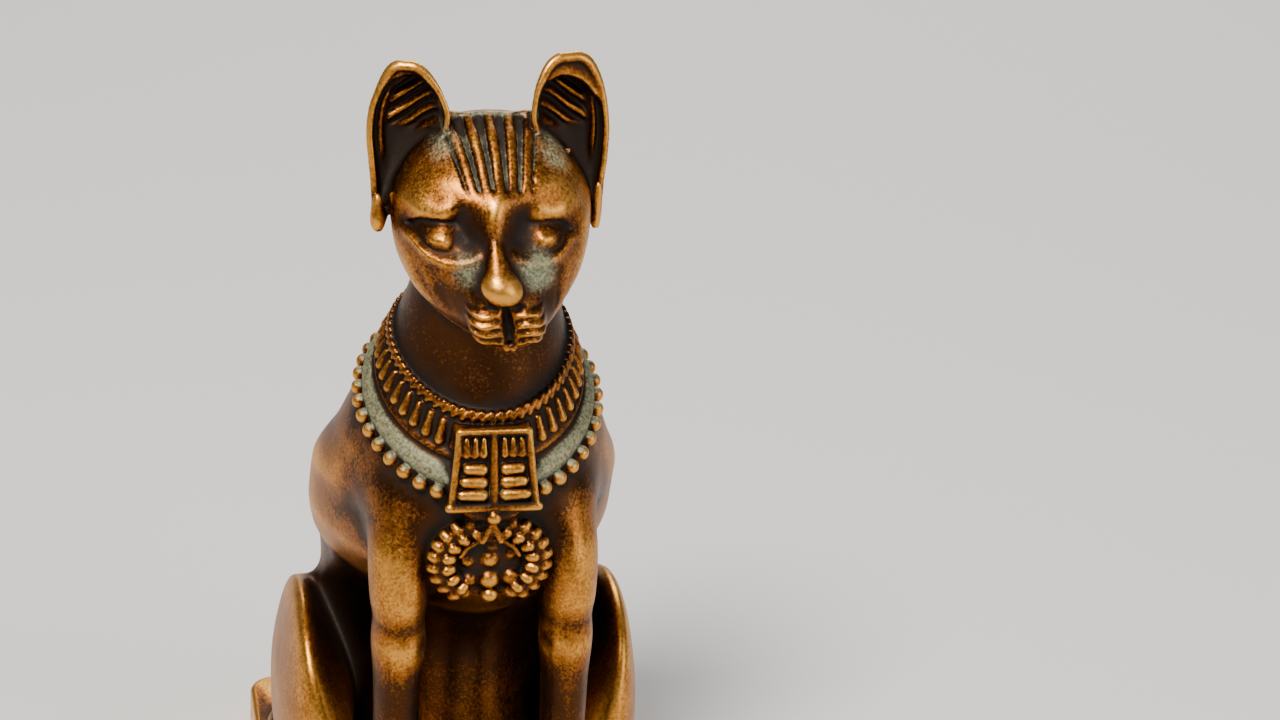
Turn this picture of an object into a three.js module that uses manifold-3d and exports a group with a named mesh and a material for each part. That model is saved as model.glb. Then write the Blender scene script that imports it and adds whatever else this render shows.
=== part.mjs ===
// Seated Egyptian cat figurine, a small cast souvenir on its own low base.
// Millimetres, +Z up, the cat faces -Y. The origin is the middle of the underside of the base.

import * as THREE from 'three';
import { LoftGeometry } from 'three/addons/geometries/LoftGeometry.js';
import { mergeVertices } from 'three/addons/utils/BufferGeometryUtils.js';
import Module from 'manifold-3d';

const wasm = await Module();
wasm.setup();

// Driving dimensions
const BASE = { width: 66, length: 88, height: 7, corner: 5, bevel: 1 };
const GROUND = BASE.height; // the top of the base, which the cat sits on
const BURIED = 1.5; // how far a foot or the body reaches into the base
const LEG_SPACING = 13.5; // from the middle plane to the middle of a foreleg
const EAR_TIP = 150; // the height of the whole figurine

// The body, level by level: front and back of the section, and its half width
const BODY = [
  { z: GROUND - BURIED, front: -10, back: 38, half: 22 },
  { z: 16, front: -12, back: 41, half: 22.5 },
  { z: 30, front: -12.5, back: 40.5, half: 22 },
  { z: 42, front: -13, back: 37.5, half: 21.3 },
  { z: 51, front: -16, back: 33.5, half: 22.5 },
  { z: 58, front: -25, back: 30, half: 24.8 },
  { z: 65, front: -31, back: 26, half: 25.8 },
  { z: 73, front: -32.5, back: 21, half: 25.7 },
  { z: 82, front: -32.2, back: 15.5, half: 22.8 },
  { z: 90, front: -30.4, back: 10.5, half: 19.8 },
  { z: 98, front: -28, back: 6, half: 16.2 },
  { z: 106, front: -26.5, back: 2, half: 13.6 },
  { z: 114, front: -26, back: -2, half: 12.6 },
];
const EGG = 0.35; // how much the sections widen towards the back
const BODY_ROWS = 15;
const BODY_COLUMNS = 22;

// A foreleg, level by level: its middle and its two half sizes, with the elbow crease near z 58
const FORELEG = [
  { z: GROUND - BURIED, x: LEG_SPACING, y: -28.8, rx: 5.4, ry: 6.6 },
  { z: 14, x: LEG_SPACING, y: -28.4, rx: 4.7, ry: 5.8 },
  { z: 30, x: LEG_SPACING, y: -27.8, rx: 4.2, ry: 5.2 },
  { z: 46, x: LEG_SPACING, y: -27.3, rx: 4.4, ry: 5.7 },
  { z: 54.5, x: LEG_SPACING, y: -27, rx: 4.9, ry: 6.4 },
  { z: 58, x: LEG_SPACING + 0.1, y: -26.6, rx: 4.3, ry: 5.9 },
  { z: 62, x: LEG_SPACING + 0.3, y: -26.2, rx: 5.2, ry: 7.2 },
  { z: 70, x: LEG_SPACING + 0.4, y: -25, rx: 5.8, ry: 8.3 },
  { z: 77, x: LEG_SPACING - 0.3, y: -23.2, rx: 5.9, ry: 8 },
  { z: 83, x: LEG_SPACING - 2.5, y: -19.5, rx: 4.5, ry: 5.5 },
];
const LEG_ROWS = 13;
const LEG_COLUMNS = 12;

// Feet and haunches
const FOREPAW = { at: [LEG_SPACING, -33, 9.6], radii: [6.2, 9, 5] };
const HAUNCH = { at: [24.2, 7, 26], radii: [7.4, 24, 19.5], squareness: 2.2, slope: 0.42, tilt: -0.08 };
const HIND_FOOT = { at: [23.5, -7.5, 10], radii: [5.6, 16.5, 5.2] };
const TOE = { count: 4, pitch: 2.75, radii: [1.75, 3.6, 2.7], drop: 1.2 };

// The tail lies on the base along the cat's right side
const TAIL = { radius: 2.6, height: GROUND + 2.1, steps: 18, sides: 7 };
const TAIL_ROUTE = [[-2, 35], [-17, 37], [-27.5, 26], [-29.8, 8], [-29.6, -10], [-28, -22], [-24.5, -29.5]];

// The head, from the muzzle back: top and bottom of the section, and its half width
const HEAD = [
  { y: -36.4, top: 117.8, bottom: 110.8, half: 4.4 },
  { y: -34.5, top: 120.6, bottom: 109.5, half: 6.2 },
  { y: -31.8, top: 125, bottom: 109.2, half: 8 },
  { y: -29.4, top: 129.2, bottom: 109.4, half: 9.8 },
  { y: -26.8, top: 132.6, bottom: 109.8, half: 12 },
  { y: -22.5, top: 136.9, bottom: 110.6, half: 14.5 },
  { y: -17, top: 141.2, bottom: 111.6, half: 15.7 },
  { y: -11, top: 142, bottom: 112.6, half: 15.3 },
  { y: -5, top: 138.8, bottom: 114.6, half: 13.4 },
  { y: -1, top: 133.2, bottom: 118, half: 9.6 },
  { y: 1, top: 129, bottom: 122, half: 5 },
];
const HEAD_SQUARENESS = 2.45;
const HEAD_ROWS = 11;
const HEAD_COLUMNS = 22;

// The face: each is an ellipsoid, and those off the middle plane come in pairs
const SOCKETS = { at: [6.6, -30.3, 126.4], radii: [5, 3.6, 2.4], tilt: 0.22 };
const FACE = [
  { at: [0, -34.6, 119.6], radii: [3.3, 3.4, 2.9] }, // ball of the nose
  { at: [3.3, -33.4, 113.6], radii: [3.7, 3.9, 4.2] }, // whisker pads
  { at: [0, -31.6, 111.2], radii: [3.6, 3.4, 2.6] }, // chin
  { at: [7.9, -26.4, 125.4], radii: [3.9, 2.2, 2.1], tilt: 0.16 }, // eyes
  { at: [7.2, -26.7, 130], radii: [6, 2.6, 1.8], tilt: 0.16 }, // brows
];
const NOSE_BRIDGE = { from: [0, -29, 130.5], to: [0, -35.5, 120], radius: 1.7, sides: 8 };

// Stripes run up the forehead from the brows to the crown
const STRIPE = { count: 5, pitch: 2.35, radius: 1, fall: 0.04, crown: [-16.5, 141.2], brow: [-28, 131] };
const STRIPE_NARROWING = 0.86; // how much closer the stripes lie at the brow

// An ear, level by level: its inner and outer edges, and how deep it is from the rim to its back
const EAR = [
  { z: 122.4, inner: 17, outer: 18, deep: 1 },
  { z: 126.5, inner: 15.4, outer: 18.5, deep: 2.4 },
  { z: 130, inner: 12.5, outer: 18.7, deep: 3.6 },
  { z: 134, inner: 9.5, outer: 19.1, deep: 4.6 },
  { z: 138, inner: 7.2, outer: 19.4, deep: 5 },
  { z: 141.5, inner: 6.4, outer: 19.1, deep: 4.8 },
  { z: 145, inner: 7.6, outer: 18, deep: 4.2 },
  { z: 148, inner: 9.2, outer: 16.9, deep: 3.4 },
  { z: 149.3, inner: 10.6, outer: 15.8, deep: 2.4 },
  { z: EAR_TIP, inner: 12, outer: 14.6, deep: 1.4 },
];
const EAR_SHAPE = { rows: 11, across: 6, front: -15.6, level: 134, lean: 0.16, turn: 0.25, middle: 12.5 };
const EAR_HOLLOW = { from: 128, to: 149, wall: 1.4, rim: 1 };

// The collar lies between two planes that slope down towards the chest
const COLLAR = { chestY: -33, chestZ: 82, slope: 0.45, width: 12.3, proud: 1.1 };
const BEAD = { count: 44, radius: 1.8, waist: 1.25, sides: 4, proud: 0.55, lift: 0.15 };

// The plaque hangs in front of the collar, the ring pendant under it
const PLAQUE = { y: -34.6, bottom: 81.6, top: 95, halfBottom: 6.6, halfTop: 5.8, depth: 7, lean: 0.2 };
const PLAQUE_WINDOW = { bar: 1.5, inlay: 1 }; // the bars round two sunk windows
const LINK = { at: [0, -31.8, 80.6], radii: [5.2, 2.9, 2.6] };
const PENDANT = { y: -31.2, z: 71, radius: 8.2, tube: 2.3, squash: 0.83 };
const PENDANT_EDGE = { y: -32.2, count: 13, radius: 1.5 };
// Balls inside the ring: how far across and up from its middle, and their radii
const PENDANT_BALLS = [[0, 3.2, 1.3], [0, 0.2, 1.9], [-3.1, -0.6, 1.4], [3.1, -0.6, 1.4], [0, -3.6, 2]];
const PENDANT_BALL_Y = -32.1;

// Solids from geometries, and back

// Positions and corners alone, so that shared vertices can be merged
function bare(geometry) {
  const plain = new THREE.BufferGeometry();
  const { position } = geometry.attributes;
  const corners = geometry.index ? geometry.index.array : Array(position.count).keys();
  plain.setAttribute('position', position.clone());
  plain.setIndex([...corners]);
  return mergeVertices(plain, 1e-4);
}

function toSolid(geometry) {
  const merged = bare(geometry);
  const vertProperties = new Float32Array(merged.attributes.position.array);
  const triVerts = new Uint32Array(merged.index.array);
  return new wasm.Manifold(new wasm.Mesh({ numProp: 3, vertProperties, triVerts }));
}

function toGeometry(solid) {
  const { vertProperties, triVerts } = solid.getMesh();
  const geometry = new THREE.BufferGeometry();
  geometry.setAttribute('position', new THREE.BufferAttribute(new Float32Array(vertProperties), 3));
  geometry.setIndex(new THREE.BufferAttribute(new Uint32Array(triVerts), 1));
  geometry.computeVertexNormals();
  return geometry;
}

function join(solids) {
  return solids.reduce((whole, solid) => whole.add(solid));
}

// The same geometry on the other side of the middle plane, with its faces still pointing out
function mirrored(geometry) {
  const copy = bare(geometry).applyMatrix4(new THREE.Matrix4().makeScale(-1, 1, 1));
  const corners = copy.index.array;
  for (let i = 0; i < corners.length; i += 3) {
    [corners[i], corners[i + 1]] = [corners[i + 1], corners[i]];
  }
  return copy;
}

function pair(geometry) {
  return [toSolid(geometry), toSolid(mirrored(geometry))];
}

// A smooth curve through stations that never swings past them
function smoothThrough(keys, values) {
  const last = keys.length - 1;
  const slopes = keys.slice(1).map((key, i) => (values[i + 1] - values[i]) / (key - keys[i]));
  const tangents = values.map((_, i) => {
    if (i === 0 || i === last) return slopes[Math.min(i, last - 1)];
    const [before, after] = [slopes[i - 1], slopes[i]];
    return before * after <= 0 ? 0 : (2 * before * after) / (before + after);
  });
  return (key) => {
    const next = keys.findIndex((k) => k > key);
    const at = next === -1 ? last - 1 : Math.max(next - 1, 0);
    const span = keys[at + 1] - keys[at];
    const t = (key - keys[at]) / span;
    const level = (2 * t ** 3 - 3 * t ** 2 + 1) * values[at] + (3 * t ** 2 - 2 * t ** 3) * values[at + 1];
    const bend = (t ** 3 - 2 * t ** 2 + t) * tangents[at] + (t ** 3 - t ** 2) * tangents[at + 1];
    return level + span * bend;
  };
}

function profileOf(stations, axis) {
  const keys = stations.map((station) => station[axis]);
  const fields = Object.keys(stations[0]).filter((field) => field !== axis);
  const curves = fields.map((field) => smoothThrough(keys, stations.map((station) => station[field])));
  return (key) => Object.fromEntries(fields.map((field, i) => [field, curves[i](key)]));
}

function spread(from, to, count) {
  return Array.from({ length: count }, (_, i) => from + ((to - from) * i) / (count - 1));
}

function turns(count) {
  return Array.from({ length: count }, (_, i) => (2 * Math.PI * i) / count);
}

function power(value, exponent) {
  return Math.sign(value) * Math.abs(value) ** exponent;
}

// An outline of a round bar, for sweeping along a route
function roundOutline(radius, sides) {
  const corners = turns(sides).map((a) => [radius * Math.cos(a), radius * Math.sin(a)]);
  return new THREE.Shape(corners.map((corner) => new THREE.Vector2(...corner)));
}

// Body, legs and feet

const bodyProfile = profileOf(BODY, 'z');
const EGG_WIDEST = Math.max(...turns(360).map((angle) => Math.sin(angle) * (1 - EGG * Math.cos(angle))));

// A point of the body's skin, by its angle from the front and its height
function bodyPoint(angle, z, proud = 0) {
  const { front, back, half } = bodyProfile(z);
  const across = (half + proud) * Math.sin(angle) * (1 - EGG * Math.cos(angle)) / EGG_WIDEST;
  const along = (front + back) / 2 - ((back - front) / 2 + proud) * Math.cos(angle);
  return new THREE.Vector3(across, along, z);
}

function bodyGeometry(bottom, top, rows, proud = 0) {
  const levels = spread(bottom, top, rows);
  const sections = levels.map((z) => turns(BODY_COLUMNS).map((angle) => bodyPoint(angle, z, proud)));
  return new LoftGeometry(sections, { capStart: true, capEnd: true });
}

function forelegGeometry() {
  const profile = profileOf(FORELEG, 'z');
  const levels = spread(FORELEG[0].z, FORELEG.at(-1).z, LEG_ROWS);
  const sections = levels.map((z) => {
    const { x, y, rx, ry } = profile(z);
    return turns(LEG_COLUMNS).map((a) => new THREE.Vector3(x + rx * Math.sin(a), y - ry * Math.cos(a), z));
  });
  return new LoftGeometry(sections, { capStart: true, capEnd: true });
}

function ellipsoid({ at, radii, tilt = 0, slope = 0, squareness = 2 }, across = 12, up = 8) {
  const geometry = new THREE.SphereGeometry(1, across, up);
  const { position } = geometry.attributes;
  for (let i = 0; i < position.count; i += 1) {
    const corner = new THREE.Vector3().fromBufferAttribute(position, i);
    const sum = corner.toArray().reduce((total, v) => total + Math.abs(v) ** squareness, 0);
    position.setXYZ(i, ...corner.divideScalar(sum ** (1 / squareness)));
  }
  return geometry.rotateX(Math.PI / 2).scale(...radii).rotateY(-tilt).rotateX(-slope).translate(...at);
}

function toeGeometries({ at, radii }) {
  const front = at[1] - radii[1] + TOE.radii[1] * 0.7;
  return spread(-(TOE.count - 1) / 2, (TOE.count - 1) / 2, TOE.count).map((step) => {
    const [x, y, z] = [at[0] + step * TOE.pitch, front + 0.5 * step * step, at[2] - TOE.drop];
    return ellipsoid({ at: [x, y, z], radii: TOE.radii }, 6, 4);
  });
}

function tailGeometry() {
  const points = TAIL_ROUTE.map(([x, y]) => new THREE.Vector3(x, y, TAIL.height));
  const route = new THREE.CatmullRomCurve3(points);
  const settings = { steps: TAIL.steps, extrudePath: route, bevelEnabled: false };
  return new THREE.ExtrudeGeometry(roundOutline(TAIL.radius, TAIL.sides), settings);
}

function tailTip() {
  const [x, y] = TAIL_ROUTE.at(-1);
  return ellipsoid({ at: [x, y, TAIL.height], radii: [TAIL.radius, TAIL.radius, TAIL.radius] }, 8, 6);
}

function baseGeometry() {
  const { width, length, height, corner, bevel } = BASE;
  const [x, y] = [width / 2 - bevel, length / 2 - bevel];
  const outline = new THREE.Shape();
  outline.moveTo(-x + corner, -y);
  outline.lineTo(x - corner, -y);
  outline.absarc(x - corner, -y + corner, corner, -Math.PI / 2, 0);
  outline.absarc(x - corner, y - corner, corner, 0, Math.PI / 2);
  outline.absarc(-x + corner, y - corner, corner, Math.PI / 2, Math.PI);
  outline.absarc(-x + corner, -y + corner, corner, Math.PI, 1.5 * Math.PI);
  const depth = height - 2 * bevel;
  const settings = { depth, bevelThickness: bevel, bevelSize: bevel, bevelSegments: 1, curveSegments: 5 };
  return new THREE.ExtrudeGeometry(outline, settings).translate(0, 0, bevel);
}

// Head and face

const headProfile = profileOf(HEAD, 'y');

function headGeometry() {
  const exponent = 2 / HEAD_SQUARENESS;
  const sections = spread(HEAD.at(-1).y, HEAD[0].y, HEAD_ROWS).map((y) => {
    const { top, bottom, half } = headProfile(y);
    const [middle, high] = [(top + bottom) / 2, (top - bottom) / 2];
    return turns(HEAD_COLUMNS).map((angle) => {
      const x = half * power(Math.sin(angle), exponent);
      return new THREE.Vector3(x, y, middle - high * power(Math.cos(angle), exponent));
    });
  });
  return new LoftGeometry(sections, { capStart: true, capEnd: true });
}

function rodGeometry(from, to, radius, sides) {
  const route = new THREE.LineCurve3(new THREE.Vector3(...from), new THREE.Vector3(...to));
  const settings = { steps: 1, extrudePath: route, bevelEnabled: false };
  return new THREE.ExtrudeGeometry(roundOutline(radius, sides), settings);
}

function faceSolids() {
  const { from, to, radius, sides } = NOSE_BRIDGE;
  const shapes = FACE.flatMap((shape) => {
    const geometry = ellipsoid(shape, 10, 6);
    return shape.at[0] === 0 ? [toSolid(geometry)] : pair(geometry);
  });
  return [toSolid(rodGeometry(from, to, radius, sides)), ...shapes];
}

function stripeSolids() {
  const [crownY, crownZ] = STRIPE.crown;
  const [browY, browZ] = STRIPE.brow;
  return spread(-(STRIPE.count - 1) / 2, (STRIPE.count - 1) / 2, STRIPE.count).map((step) => {
    const x = step * STRIPE.pitch;
    const fall = STRIPE.fall * x * x;
    const [from, to] = [[x, crownY, crownZ - fall], [x * STRIPE_NARROWING, browY, browZ - fall]];
    return toSolid(rodGeometry(from, to, STRIPE.radius, 6));
  });
}

const earProfile = profileOf(EAR, 'z');

// A level of the ear: round its back from the outer to the inner edge, then through the hollow
function earSection(z) {
  const { across, front, level, lean, turn, middle } = EAR_SHAPE;
  const { inner, outer, deep } = earProfile(z);
  const open = Math.min(Math.max((z - EAR_HOLLOW.from) / (EAR_HOLLOW.to - EAR_HOLLOW.from), 0), 1);
  const hollow = Math.max(deep - EAR_HOLLOW.wall, 0.1) * Math.sin(Math.PI * open ** 0.8) ** 0.5;
  const rim = Math.min(EAR_HOLLOW.rim, (outer - inner) / 4);
  const arc = (left, right, depth) => spread(0, 1, across).map((s) => {
    const x = left + (right - left) * s;
    const y = front + lean * (z - level) + turn * (x - middle) + depth * Math.sqrt(4 * s * (1 - s));
    return new THREE.Vector3(x, y, z);
  });
  return [...arc(outer, inner, deep), ...arc(inner + rim, outer - rim, hollow)];
}

function earGeometry() {
  const levels = spread(EAR[0].z, EAR_TIP, EAR_SHAPE.rows);
  return new LoftGeometry(levels.map(earSection), { capStart: true, capEnd: true });
}

// Collar, plaque and pendant

function collarPlane(y, lift = 0) {
  return COLLAR.chestZ + COLLAR.slope * (y - COLLAR.chestY) + lift;
}

// A point of the collar's outer edge: where the body's skin meets the lower plane
function collarEdge(angle, proud, lift) {
  let [low, high] = [60, 113];
  for (let i = 0; i < 40; i += 1) {
    const z = (low + high) / 2;
    if (z > collarPlane(bodyPoint(angle, z, proud).y, lift)) high = z;
    else low = z;
  }
  return bodyPoint(angle, low, proud);
}

function collarSolid() {
  const [size, angle] = [90, Math.atan(COLLAR.slope)];
  const thickness = COLLAR.width * Math.cos(angle);
  const slab = new THREE.BoxGeometry(size, size, thickness).translate(0, 0, thickness / 2);
  slab.rotateX(angle).translate(0, COLLAR.chestY, COLLAR.chestZ);
  return toSolid(bodyGeometry(74, 113.5, 8, COLLAR.proud)).intersect(toSolid(slab));
}

function boxBetween([x0, y0, z0], [x1, y1, z1]) {
  const box = new THREE.BoxGeometry(x1 - x0, y1 - y0, z1 - z0);
  return box.translate((x0 + x1) / 2, (y0 + y1) / 2, (z0 + z1) / 2);
}

// The row of beads along the collar's outer edge: a ring that swells and narrows once a bead
function beadRowGeometry() {
  const { count, radius, waist, sides, proud, lift } = BEAD;
  const edge = turns(2 * count).map((angle) => collarEdge(angle, proud, lift));
  const middle = (edge[0].y + edge[count].y) / 2;
  const sections = edge.map((at, i) => {
    const out = new THREE.Vector3(at.x, at.y - middle, 0).normalize();
    const size = i % 2 === 0 ? radius : waist;
    return turns(sides).map((turn) => {
      const corner = at.clone().addScaledVector(out, size * Math.cos(turn));
      return corner.setZ(at.z - size * Math.sin(turn));
    });
  });
  return new LoftGeometry([...sections, sections[0]]);
}

// The plaque hangs over the middle of the row, so the beads stop behind it
function beadRowSolid() {
  const half = PLAQUE.halfBottom - BEAD.radius;
  const covered = boxBetween([-half, -50, PLAQUE.bottom - 10], [half, -20, PLAQUE.top]);
  return toSolid(beadRowGeometry()).subtract(toSolid(covered));
}

function plaqueSolid() {
  const { y, bottom, top, halfBottom, halfTop, depth, lean } = PLAQUE;
  const { bar, inlay } = PLAQUE_WINDOW;
  const height = top - bottom;
  const corners = [[-halfBottom, 0], [halfBottom, 0], [halfTop, height], [-halfTop, height]];
  const outline = new THREE.Shape(corners.map((corner) => new THREE.Vector2(...corner)));
  const panel = new THREE.ExtrudeGeometry(outline, { depth, bevelEnabled: false });
  const place = (geometry) => toSolid(
    geometry.rotateX(Math.PI / 2).translate(0, depth, 0).rotateX(-lean).translate(0, y, bottom));
  const windows = [[-halfTop + bar, -bar / 2], [bar / 2, halfTop - bar]].map(([left, right]) => (
    boxBetween([left, bar, depth - inlay], [right, height - bar, depth + inlay])));
  return windows.reduce((whole, window) => whole.subtract(place(window)), place(panel));
}

// Under the plaque hangs a ring with a lobed edge, and balls inside it
function pendantSolids() {
  const { y, z, radius, tube, squash } = PENDANT;
  const reach = radius + tube * 0.8;
  const ring = new THREE.TorusGeometry(radius, tube, 6, 20).scale(1, squash, 1).rotateX(Math.PI / 2);
  const ball = (size, at) => toSolid(new THREE.IcosahedronGeometry(size, 0).translate(...at));
  const edge = turns(PENDANT_EDGE.count).map((a) => ball(PENDANT_EDGE.radius, [
    reach * Math.sin(a), PENDANT_EDGE.y, z + squash * reach * Math.cos(a)]));
  const balls = PENDANT_BALLS.map(([x, up, size]) => ball(size, [x, PENDANT_BALL_Y, z + up]));
  return [toSolid(ring.translate(0, y, z)), toSolid(ellipsoid(LINK, 10, 6)), ...edge, ...balls];
}

// The whole cat, one casting

function catSolid() {
  const sockets = pair(ellipsoid(SOCKETS, 10, 6));
  const feet = [FOREPAW, HIND_FOOT].flatMap((foot) => [ellipsoid(foot, 10, 6), ...toeGeometries(foot)]);
  return join([
    toSolid(baseGeometry()),
    toSolid(bodyGeometry(BODY[0].z, BODY.at(-1).z, BODY_ROWS)),
    ...pair(forelegGeometry()),
    ...pair(ellipsoid(HAUNCH, 14, 10)),
    ...feet.flatMap(pair),
    toSolid(tailGeometry()),
    toSolid(tailTip()),
    sockets.reduce((head, socket) => head.subtract(socket), toSolid(headGeometry())),
    ...faceSolids(),
    ...stripeSolids(),
    ...pair(earGeometry()),
    collarSolid(),
    beadRowSolid(),
    plaqueSolid(),
    ...pendantSolids(),
  ]);
}

const bronzeFinish = new THREE.MeshStandardMaterial({ color: 0x8a5a2b, roughness: 0.42, metalness: 0.85 });

const figurine = new THREE.Group();
const cat = new THREE.Mesh(toGeometry(catSolid()), bronzeFinish);
cat.name = 'cat_figurine';
figurine.add(cat);

export default figurine;
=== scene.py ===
import math

import bpy
import numpy as np
from mathutils import Matrix, Vector


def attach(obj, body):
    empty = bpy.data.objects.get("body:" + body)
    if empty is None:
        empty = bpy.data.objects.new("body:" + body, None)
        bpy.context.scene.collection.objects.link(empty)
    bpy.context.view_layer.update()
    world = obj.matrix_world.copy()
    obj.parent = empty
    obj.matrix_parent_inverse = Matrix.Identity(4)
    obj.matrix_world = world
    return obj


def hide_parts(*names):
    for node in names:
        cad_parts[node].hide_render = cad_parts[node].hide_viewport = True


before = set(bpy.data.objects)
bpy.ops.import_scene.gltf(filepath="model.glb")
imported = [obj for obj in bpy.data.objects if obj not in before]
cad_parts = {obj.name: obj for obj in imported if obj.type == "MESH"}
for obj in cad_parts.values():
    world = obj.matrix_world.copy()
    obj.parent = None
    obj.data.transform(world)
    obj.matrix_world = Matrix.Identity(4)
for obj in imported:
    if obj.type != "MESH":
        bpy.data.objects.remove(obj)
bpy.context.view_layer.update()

# Seated cat, sculpted as a distance field and meshed. Millimetres until the mesh is made, the cat faces -Y.
STEP = 0.3  # spacing of the samples
TRIANGLES = 190_000

BODY = [  # height, front, back, half width
    (5.5, -10, 38, 22), (16, -12, 41, 22.5), (30, -12.5, 40.5, 22), (42, -13, 37.5, 21.3),
    (51, -16, 33.5, 22.5), (58, -25, 30, 24.8), (65, -31, 26, 25.8), (73, -32.5, 21, 25.7),
    (82, -32.2, 15.5, 22.8), (90, -30.4, 10.5, 19.8), (98, -28, 5.4, 16.2), (106, -26.5, 0.2, 13.5),
    (114, -25.5, -6, 11.4),
]
EGG_LOW, EGG_HIGH = 0.35, 0.1  # how much narrower the front is than the back, below and at the collar
FORELEG = [  # height, middle x and y, half sizes
    (5.5, 13.8, -28.8, 5.1, 6.6), (14, 13.9, -28.4, 4.3, 5.8), (30, 14.0, -27.8, 3.7, 5.2),
    (46, 14.0, -27.3, 3.9, 5.6), (54.5, 13.9, -27, 4.5, 6.2), (58, 13.9, -26.6, 4.3, 6.0),
    (62, 13.9, -26.2, 4.8, 6.8), (70, 13.7, -24.6, 5.2, 7.6), (77, 12.8, -22.4, 5.0, 7),
    (83, 11, -19.5, 4.0, 5),
]
HEAD = [  # from the muzzle back: y, top, bottom, half width
    (-36.4, 117.6, 111.2, 3.6), (-34.5, 120.4, 109.8, 5.3), (-31.8, 124.6, 109.4, 7.1),
    (-29.4, 128.9, 109.5, 9.3), (-26.8, 132.8, 109.8, 11.8), (-22.5, 137.1, 110.6, 14.5),
    (-17, 140.4, 111.6, 15.7), (-13.5, 141.0, 112.2, 15.6), (-10, 140.0, 112.9, 15.1), (-5, 137.0, 114.6, 13.4),
    (-1, 132.4, 118, 9.6), (1, 128.5, 122, 5),
]
HEAD_SQUARE_LOW, HEAD_SQUARE_HIGH = 2.45, 1.88
FACE_MIDDLE = [  # height and sideways place of the face's middle line
    (108, 1.6), (112, 1.3), (116, 0.7), (120, -0.1), (124, -0.7), (128, -0.9), (131, -0.6),
    (134, -0.1), (142, -0.3),
]
EARS = {  # height, inner and outer edge, depth; the one on the right stands a little higher
    -1: [
        (122.4, 17, 18, 1), (126.5, 15.4, 18.5, 2.4), (130, 12.5, 18.7, 3.6), (134, 9.5, 19.1, 4.6),
        (138, 7.2, 19.4, 5), (141.5, 6.5, 19.1, 4.8), (145, 7.6, 18, 4.2), (147.8, 9.3, 16.8, 3.4),
        (149.2, 10.7, 15.7, 2.4), (149.8, 12, 14.6, 1.4),
    ],
    1: [
        (122.4, 17, 18, 1), (126.5, 15.4, 18.5, 2.4), (130, 12.5, 18.8, 3.6), (134, 9.5, 19.3, 4.6),
        (138, 7.3, 19.5, 5), (141.5, 6.4, 19.2, 4.9), (145, 6.8, 18.5, 4.5), (148.2, 7.9, 17.3, 3.8),
        (150.2, 9.3, 15.8, 2.8), (151.0, 10.8, 14.2, 1.5),
    ],
}
TAIL_ROUTE = [(-2, 35), (-17, 37), (-27.5, 26), (-29.8, 8), (-29.6, -10), (-28, -22), (-24.5, -29.5)]


# Curves

def smooth_through(keys, values):
    """A curve through stations that never swings past them."""
    keys = np.asarray(keys, float)
    values = np.asarray(values, float)
    slopes = np.diff(values) / np.diff(keys)
    tangents = np.zeros(len(values))
    tangents[0], tangents[-1] = slopes[0], slopes[-1]
    before, after = slopes[:-1], slopes[1:]
    rising = before * after > 0
    tangents[1:-1][rising] = 2 * before[rising] * after[rising] / (before + after)[rising]

    def curve(key):
        key = np.asarray(key, float)
        at = np.clip(np.searchsorted(keys, key, "right") - 1, 0, len(keys) - 2)
        span = keys[at + 1] - keys[at]
        t = (np.clip(key, keys[0], keys[-1]) - keys[at]) / span
        level = (2 * t**3 - 3 * t**2 + 1) * values[at] + (3 * t**2 - 2 * t**3) * values[at + 1]
        bend = (t**3 - 2 * t**2 + t) * tangents[at] + (t**3 - t**2) * tangents[at + 1]
        return (level + span * bend).astype(np.float32)

    return curve


def profiles(stations, key=0):
    columns = list(zip(*stations))
    order = np.argsort(columns[key])
    keys = np.asarray(columns[key])[order]
    return [smooth_through(keys, np.asarray(c)[order]) for i, c in enumerate(columns) if i != key]


def step_up(value, low, high):
    t = np.clip((value - low) / (high - low), 0, 1)
    return t * t * (3 - 2 * t)


# Shapes: each takes X, Y, Z and gives about the distance, negative inside

def union(a, b, blend):
    h = np.maximum(blend - np.abs(a - b), 0) if blend else 0
    return np.minimum(a, b) - h * h * (0.25 / blend if blend else 0)


def cut(a, b, blend):
    return -union(-a, b, blend)


def ellipsoid(at, radii, tilt=0.0, slope=0.0, power=2.0):
    (cx, cy, cz), (rx, ry, rz) = at, radii
    ct, st, cs, ss = math.cos(tilt), math.sin(tilt), math.cos(slope), math.sin(slope)

    def field(X, Y, Z):
        y, z = Y - cy, Z - cz
        y, z = y * cs - z * ss, y * ss + z * cs
        x = X - cx
        if tilt:
            x, z = x * ct + z * st, z * ct - x * st
        px, py, pz = x / rx, y / ry, z / rz
        k1 = np.sqrt((px / rx) ** 2 + (py / ry) ** 2 + (pz / rz) ** 2) + 1e-6
        if power == 2:
            k0 = np.sqrt(px * px + py * py + pz * pz)
        else:
            k0 = (np.abs(px) ** power + np.abs(py) ** power + np.abs(pz) ** power) ** (1 / power)
        return k0 * (k0 - 1) / k1

    return field


def capsule(a, b, ra, rb=None):
    """A rod with round ends, whose radius runs from ra to rb."""
    a, b = np.asarray(a, float), np.asarray(b, float)
    rb = ra if rb is None else rb
    ab = b - a
    length2 = float(ab @ ab) or 1e-9

    def field(X, Y, Z):
        x, y, z = X - a[0], Y - a[1], Z - a[2]
        h = np.clip((x * ab[0] + y * ab[1] + z * ab[2]) / length2, 0, 1)
        d = np.sqrt((x - h * ab[0]) ** 2 + (y - h * ab[1]) ** 2 + (z - h * ab[2]) ** 2)
        return d - (ra + (rb - ra) * h)

    return field


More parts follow.
